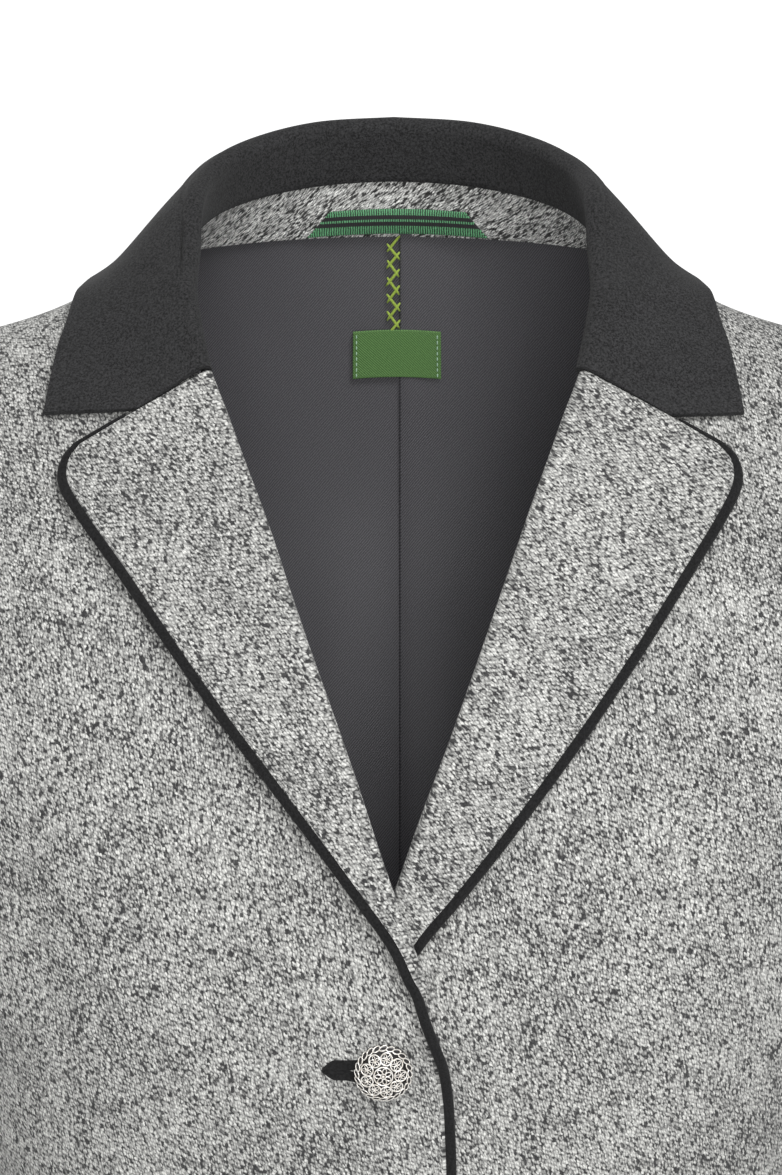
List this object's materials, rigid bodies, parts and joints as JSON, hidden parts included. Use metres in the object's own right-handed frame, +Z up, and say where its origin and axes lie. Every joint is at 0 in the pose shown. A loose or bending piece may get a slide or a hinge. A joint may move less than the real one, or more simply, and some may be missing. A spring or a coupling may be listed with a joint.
{
  "type": "jacket",
  "caption": "Woman's tyrolean jacket in salt-and-pepper loden with a dark felt collar, piped lapels, lined back and silver filigree buttons, worn shape, hollow and closed on its top button",
  "frame": {"origin": "midway between the points where the shoulder seams meet the collar, inside the neck opening", "axes": "+Z up along the wearer's spine, -Y out of the front of the jacket, +X towards the wearer's left"},
  "size_m": [0.6, 0.2605, 0.6939],
  "materials": {
    "tweed": "salt-and-pepper wool, napped, matt",
    "felt": "dense charcoal wool felt, matt",
    "lining": "fine twill lining, low sheen",
    "green_weave": "woven green ribbon, ribbed",
    "silver": "antiqued silver with dark recesses"
  },
  "bodies": {
    "root": {"front_right": "tweed", "front_left": "tweed", "back_right": "tweed", "back_left": "tweed", "lapel_right": "tweed", "lapel_left": "tweed", "neck_facing": "tweed", "top_sleeve_right": "tweed", "top_sleeve_left": "tweed", "under_sleeve_right": "tweed", "under_sleeve_left": "tweed", "collar": "felt", "piping_right": "felt", "piping_left": "felt", "buttonhole_1_upper": "felt", "buttonhole_1_lower": "felt", "buttonhole_2_upper": "felt", "buttonhole_2_lower": "felt", "buttonhole_3_upper": "felt", "buttonhole_3_lower": "felt", "lining_back_right": "lining", "lining_back_left": "lining", "hanger_loop": "green_weave", "label": "green_weave", "button_1": "silver", "button_2": "silver", "button_3": "silver"}
  },
  "joints": []
}
